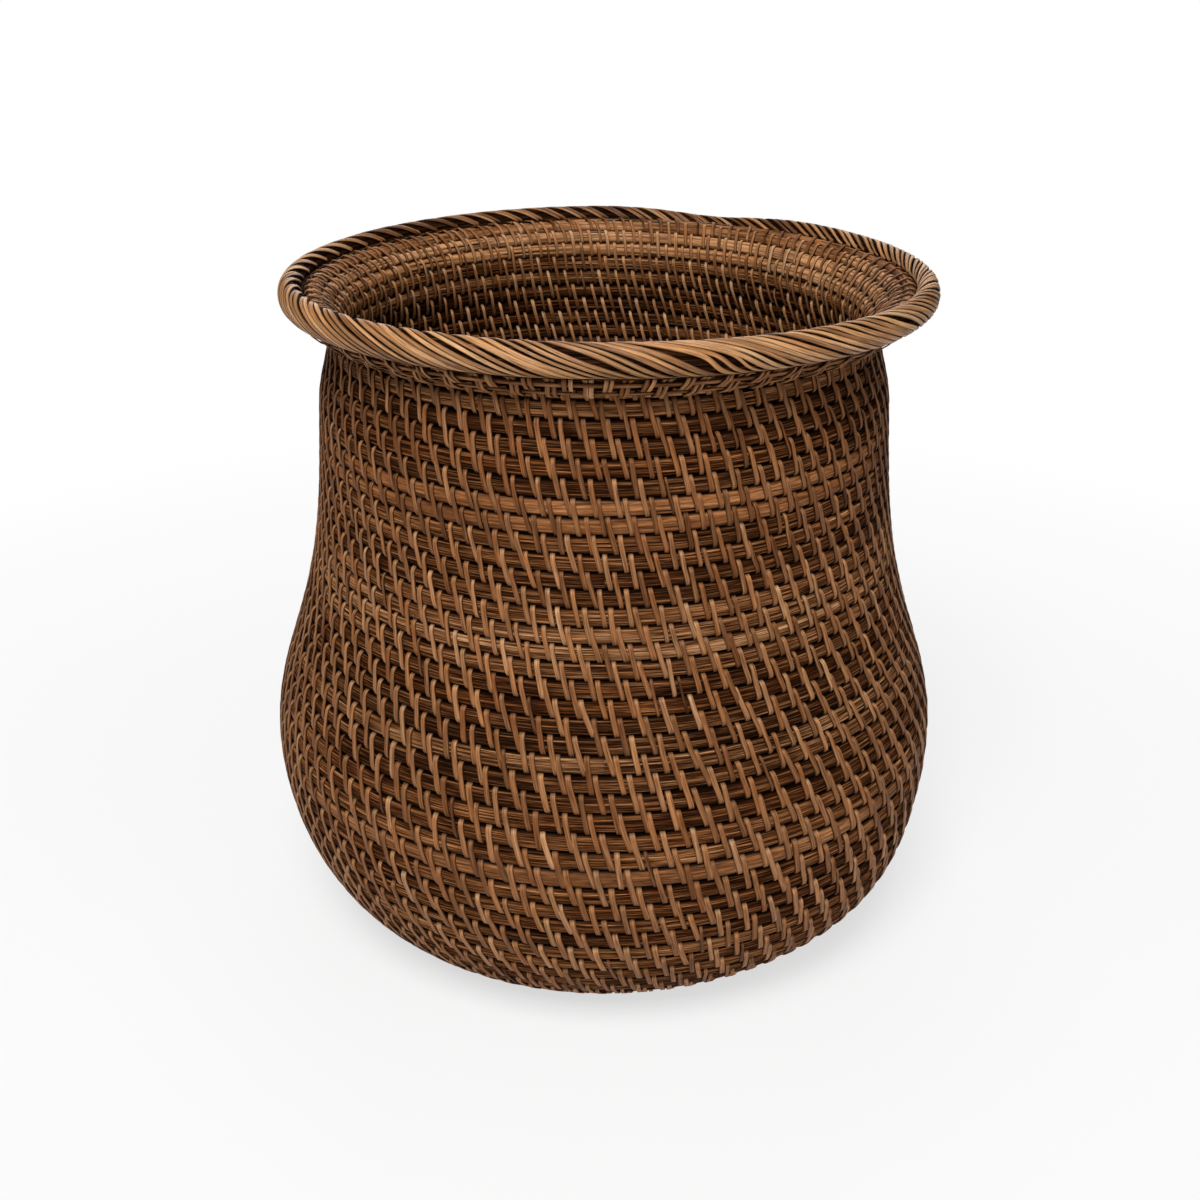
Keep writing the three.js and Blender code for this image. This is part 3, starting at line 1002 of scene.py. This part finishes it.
def make_rim_hoop():
    rng = np.random.default_rng([SEED, RIM_HOOP_STREAM])
    steps, sides = RIM_HOOP_STEPS, RIM_HOOP_SIDES
    azimuth = np.linspace(0, FULL_TURN, steps, endpoint=False)[:, None]
    angle = np.linspace(0, FULL_TURN, sides, endpoint=False)[None, :]
    ribs = np.zeros((steps, sides))
    for _ in range(RIBS):
        centre = rng.uniform(0, FULL_TURN)
        waves = rng.integers(*RIB_WAVES)
        centre = centre + RIB_WANDER * np.sin(waves * azimuth + rng.uniform(0, RIB_PHASES))
        ribs += RIB_DEPTH * np.exp(-(turned_from(angle, centre) / RIB_WIDTH) ** 2)
    hoop, _ = round_rim(azimuth, angle, RIM_HOOP_DEPTH + ribs)
    lip_radius, lip_height = profile_at(LIP_DISTANCE + CORNER_CANE_PAST_LIP)[:2]
    reach = lip_radius + CORNER_CANE_RADIUS * np.cos(angle)
    level = lip_height + CORNER_CANE_RADIUS * np.sin(angle)
    corner_cane = by_hand(round_axis(reach, azimuth, level))
    shape = (2, steps, sides)
    grain = stack_over(shape, azimuth * LIP_RADIUS, angle * RIM_HALF_WIDTH, RIM_HOOP_SEED)
    # Painted shade in the hoop's rib grooves and over all of it
    tone_and_painted_light = stack_over(shape, RIM_HOOP_TONE, np.clip(ribs / RIB_DEPTH, 0, 1), RIM_HOOP_SHADE)
    piece = make_mesh("rim_hoop_core", np.stack([hoop, corner_cane]), True, grain, tone_and_painted_light, cane_wood)
    finish_piece(piece, "hoop", "rim_hoop")


def bunching(rng, count):
    """Sideways shifts of strips that lie in small bunches with gaps between."""
    shifts = []
    while len(shifts) < count:
        shifts += [rng.normal(0, 1)] * rng.integers(*RIM_BUNCH_SIZES)
    return np.array(shifts[:count])


def pairs_and_members(count):
    """For every strip the number of its pair, and which side of the pair's middle it lies on."""
    strip = np.arange(count)
    return strip // 2, np.where(strip % 2 == 0, -1, 1)


def rim_advance(degrees, angle):
    """How far a strip goes along the rim on its way round it, as an azimuth."""
    inside_share = smoothstep(*RIM_SLOPE_PLACES, degrees)
    slope = np.radians(RIM_SLOPE_OUTSIDE + (RIM_SLOPE_INSIDE - RIM_SLOPE_OUTSIDE) * inside_share)
    arc = np.hypot(RIM_HALF_WIDTH * np.sin(angle), RIM_HALF_HEIGHT * np.cos(angle))
    step = np.abs(np.gradient(angle)) * arc / np.tan(slope)
    return (np.cumsum(step) - step[0]) / (LIP_RADIUS + RIM_HALF_WIDTH)


def make_rim_wrapping():
    rng = np.random.default_rng([SEED, RIM_WRAPPING_STREAM])
    count = RIM_PAIRS * 2
    degrees = np.linspace(RIM_STRIP_START, RIM_STRIP_END, RIM_STATIONS)
    angle = np.radians(degrees)
    advance = rim_advance(degrees, angle)
    pair, member = pairs_and_members(count)
    between = FULL_TURN / RIM_PAIRS
    start = pair * between + rng.normal(0, RIM_START_JITTER * between, count)
    apart_at_start = RIM_APART_AT_START + RIM_APART_CHANGE * np.cos(start - RIM_LOOSEST_AZIMUTH)
    closing = smoothstep(*RIM_APART_PLACES, degrees)[None, :]
    apart = RIM_APART + (apart_at_start[:, None] - RIM_APART) * closing
    azimuth = start[:, None] + advance[None, :] + member[:, None] * apart * between
    bunched = np.exp(-((degrees - RIM_BUNCH_PLACE) / RIM_BUNCH_REACH) ** 2)
    from_widest = turned_from(start + advance[-1] * 0.5, RIM_WIDEST_AZIMUTH) / RIM_WIDEST_WIDTH
    spread = RIM_BUNCHING + RIM_WIDE_BUNCHING * np.exp(-from_widest ** 2)
    azimuth += (spread * between * bunching(rng, count))[:, None] * bunched[None, :]
    member_lift = np.where(member > 0, RIM_FRONT_LIFT, RIM_REAR_LIFT)[:, None]
    lift = member_lift * smoothstep(*RIM_LIFT_PLACES, degrees)[None, :]
    lift = lift + rng.uniform(-RIM_LIFT_JITTER, RIM_LIFT_JITTER, count)[:, None]
    tucked = smoothstep(*RIM_TUCK_START_PLACES, degrees) + smoothstep(*RIM_TUCK_END_PLACES, degrees)
    depth = RIM_STRIP_THICKNESS - lift + RIM_TUCK * tucked
    middle, outwards = round_rim(azimuth, angle[None, :], depth)
    width = RIM_STRIP_WIDTH * (1 + rng.normal(0, RIM_WIDTH_JITTER, count))[:, None]
    width = width * (1 - RIM_NARROWING * smoothstep(*RIM_NARROWING_PLACES, degrees)[None, :])
    thickness = np.full_like(azimuth, RIM_STRIP_THICKNESS)
    rings, grain = ribbons(middle, outwards, width, thickness, ROUND_SECTION)
    grain[..., 2] = rng.uniform(0, MOST_SEEDS, count)[:, None, None]
    tones = np.clip(rng.normal(RIM_TONE, RIM_TONE_JITTER, count), *RIM_TONE_LIMITS)[:, None]
    dull = smoothstep(*RIM_BACK_SINES, np.sin(start))[:, None] * smoothstep(*RIM_BACK_PLACES, degrees)
    tones = (tones - RIM_BACK_DARKENING * dull)[..., None]
    # Painted shade on the tucked ends of the strips
    gap_shades = (RIM_TUCK_SHADE * tucked)[None, :, None]
    tone_and_painted_light = stack_over(rings.shape[:3], tones, ROUND_SECTION[:, 2], gap_shades)
    piece = make_mesh("rim_wrapping_strips", rings, False, grain, tone_and_painted_light, rim_wood)
    finish_piece(piece, "strip", "rim_wrapping")


# The lashing under the lip

def lashing_slope():
    """The foot of the lashing at the neck, and its straight way up to the rim, as radius and height."""
    foot = np.array([NECK_RADIUS + LASHING_FOOT_OUT, NECK_HEIGHT + LASHING_FOOT_ABOVE_NECK])
    top = np.array([
        LIP_RADIUS + RIM_CLEARANCE + RIM_HALF_WIDTH - LASHING_TOP_INSIDE_RIM,
        LIP_HEIGHT + RIM_ABOVE_LIP - RIM_HALF_HEIGHT - LASHING_TOP_BELOW_RIM,
    ])
    return foot, top - foot


def lashing_path(share, above, azimuth):
    """Points and outward directions of the lashing, at a share of the way up to the rim."""
    (foot_radius, foot_height), (out, up) = lashing_slope()
    length = math.hypot(out, up)
    above = above + LASHING_FULLNESS * np.sin(math.pi * np.clip(share, 0, 1))
    reach = foot_radius + out * share + up / length * above
    level = foot_height + up * share - out / length * above
    outwards = round_axis(up / length, azimuth, -out / length)
    return by_hand(round_axis(reach, azimuth, level)), outwards


def make_rings_under_lip(name, shares, above, width, thickness, sides, tone, material, slot):
    """Canes or flat strands that run round the basket under its lip."""
    azimuth = np.linspace(0, FULL_TURN, LASHING_RING_STEPS, endpoint=False)[None, :, None]
    angle = np.linspace(0, FULL_TURN, sides, endpoint=False)[None, None, :]
    slope_length = np.linalg.norm(lashing_slope()[1])
    across = np.sign(np.cos(angle)) * np.abs(np.cos(angle)) ** LASHING_RING_FLATNESS * width / 2
    height = np.sin(angle) * thickness / 2
    rings, _ = lashing_path(shares[:, None, None] + across / slope_length, above + height, azimuth)
    shape = rings.shape[:3]
    seeds = np.arange(len(shares))[:, None, None] * LASHING_RING_SEED
    grain = stack_over(shape, azimuth * NECK_RADIUS, angle * width / 2, seeds)
    tones = tone + LASHING_RING_TONE_WAVE * np.sin(LASHING_RING_TONE_CRESTS * azimuth)
    tone_and_painted_light = stack_over(shape, tones, 0, 0)
    piece = make_mesh(name, rings, True, grain, tone_and_painted_light, material)
    finish_piece(piece, slot)


def make_lashing_strips():
    rng = np.random.default_rng([SEED, LASHING_STREAM])
    count = LASHING_PAIRS * 2
    pair, member = (values[:, None] for values in pairs_and_members(count))
    stations = LASHING_STRANDS * LASHING_STATIONS_PER_STRAND + 1
    crossing = np.linspace(0, LASHING_STRANDS, stations)[None, :]
    share = crossing / LASHING_STRANDS
    wave = np.clip(LASHING_WAVE_SHARPNESS * np.cos(math.pi * (pair + crossing - 0.5)), -1, 1)
    tucked = 1 - smoothstep(0, LASHING_TUCK_SHARE, share)
    above = LASHING_WAVE * wave - LASHING_TUCK * tucked - LASHING_STRIP_THICKNESS / 2
    true_azimuth = pair * FULL_TURN / LASHING_PAIRS
    lean = LASHING_LEAN * np.clip(LASHING_LEAN_CHANGE * np.cos(true_azimuth), -1, 1)
    lean = lean + rng.normal(0, LASHING_LEAN_JITTER, count)[:, None]
    apart = member * (LASHING_STRIP_WIDTH + LASHING_SPACE_BETWEEN) / 2 / NECK_RADIUS
    shift = rng.normal(0, LASHING_SHIFT_JITTER, count)[:, None]
    azimuth = true_azimuth + (shift + lean * (share - 0.5)) * FULL_TURN / LASHING_PAIRS + apart
    middle, outwards = lashing_path(share, above, azimuth)
    width = LASHING_STRIP_WIDTH * (1 + rng.normal(0, LASHING_WIDTH_JITTER, count))[:, None]
    width = width * np.ones_like(azimuth)
    thickness = np.full_like(azimuth, LASHING_STRIP_THICKNESS)
    rings, grain = ribbons(middle, outwards, width, thickness, FLAT_SECTION)
    grain[..., 2] = rng.uniform(0, MOST_SEEDS, count)[:, None, None]
    tones = np.clip(rng.normal(LASHING_TONE, LASHING_TONE_JITTER, count), *LASHING_TONE_LIMITS)
    # Painted shade on the strips where they tuck in at the neck
    gap_shades = (LASHING_TUCK_SHADE * tucked)[..., None]
    tone_and_painted_light = stack_over(rings.shape[:3], tones[:, None, None], FLAT_SECTION[:, 2], gap_shades)
    piece = make_mesh("rim_lashing_strips", rings, False, grain, tone_and_painted_light, strip_wood)
    finish_piece(piece, "strip", "rim_lashing")


def make_lashing():
    strands = (np.arange(LASHING_STRANDS) + 0.5) / LASHING_STRANDS
    make_rings_under_lip(
        "rim_lashing_strands", strands, 0.0, LASHING_STRAND_WIDTH, LASHING_STRAND_THICKNESS,
        LASHING_STRAND_SIDES, LASHING_STRAND_TONE, strip_wood, "strip",
    )
    canes = (np.arange(LASHING_CANES) + 0.5) / LASHING_CANES
    cane_depth = LASHING_CANE_RADIUS + LASHING_WAVE + LASHING_STRIP_THICKNESS
    make_rings_under_lip(
        "rim_lashing_canes", canes, -cane_depth, 2 * LASHING_CANE_RADIUS, 2 * LASHING_CANE_RADIUS,
        LASHING_CANE_SIDES, LASHING_CANE_TONE, cane_wood, "cane",
    )
    make_lashing_strips()


# The floor, the lights and the camera

def make_floor():
    """A pale floor that the camera sees as white, but for the basket's soft shadow near it."""
    size = FLOOR_HALF_SIZE
    corners = [(-size, -size, 0), (size, -size, 0), (size, size, 0), (-size, size, 0)]
    mesh = bpy.data.meshes.new("floor")
    mesh.from_pydata(corners, [], [(0, 1, 2, 3)])
    floor = bpy.data.objects.new("floor", mesh)
    bpy.context.scene.collection.objects.link(floor)
    made = Shader("floor_white")
    made.surface.inputs["Base Color"].default_value = FLOOR_COLOUR
    made.surface.inputs["Roughness"].default_value = FLOOR_ROUGHNESS
    made.surface.inputs["Specular IOR Level"].default_value = FLOOR_SPECULAR
    glow = made.node("ShaderNodeEmission", {"Color": WHITE, "Strength": 1.0})
    position = made.node("ShaderNodeNewGeometry").outputs["Position"]
    distance = made.node("ShaderNodeVectorMath", {0: position}, operation="LENGTH").outputs["Value"]
    far = made.spread(distance, *FLOOR_WHITE_DISTANCES, FLOOR_WHITE_NEAR, 1.0)
    seen = made.node("ShaderNodeLightPath").outputs["Is Camera Ray"]
    share = made.math("MULTIPLY", far, seen)
    mixed = made.node("ShaderNodeMixShader", {0: share, 1: made.surface.outputs[0], 2: glow.outputs[0]})
    made.tree.links.new(mixed.outputs[0], made.tree.nodes["Material Output"].inputs["Surface"])
    mesh.materials.append(made.material)


def make_world():
    """A dim world, which the camera itself sees as white."""
    world = bpy.data.worlds.new("studio")
    world.use_nodes = True
    tree = world.node_tree
    background = tree.nodes["Background"]
    background.inputs["Color"].default_value = WHITE
    seen = tree.nodes.new("ShaderNodeLightPath")
    strength = tree.nodes.new("ShaderNodeMix")
    strength.inputs[2].default_value = WORLD_LEVEL
    strength.inputs[3].default_value = 1.0
    tree.links.new(seen.outputs["Is Camera Ray"], strength.inputs[0])
    tree.links.new(strength.outputs[0], background.inputs["Strength"])
    bpy.context.scene.world = world


def make_light(name, place_mm, size, power):
    light = bpy.data.lights.new(name, "AREA")
    light.size = size
    light.energy = power
    lamp = bpy.data.objects.new(name, light)
    lamp.location = Vector(place_mm) * MM
    aim = Vector(LIGHTS_AIM) * MM - lamp.location
    lamp.rotation_euler = aim.to_track_quat("-Z", "Y").to_euler()
    bpy.context.scene.collection.objects.link(lamp)


def make_camera():
    data = bpy.data.cameras.new("camera")
    data.lens = CAMERA_LENS
    data.sensor_width = SENSOR_WIDTH
    camera = bpy.data.objects.new("camera", data)
    camera.location = Vector(CAMERA_PLACE) * MM
    aim = (Vector(CAMERA_TARGET) - Vector(CAMERA_PLACE)) * MM
    camera.rotation_euler = aim.to_track_quat("-Z", "Y").to_euler()
    bpy.context.scene.collection.objects.link(camera)
    bpy.context.scene.camera = camera


make_coil()
make_rim_hoop()
make_rim_wrapping()
make_lashing()
make_floor()
make_world()
for light_settings in LIGHTS:
    make_light(*light_settings)
make_camera()
bpy.context.scene.view_settings.view_transform = "Standard"
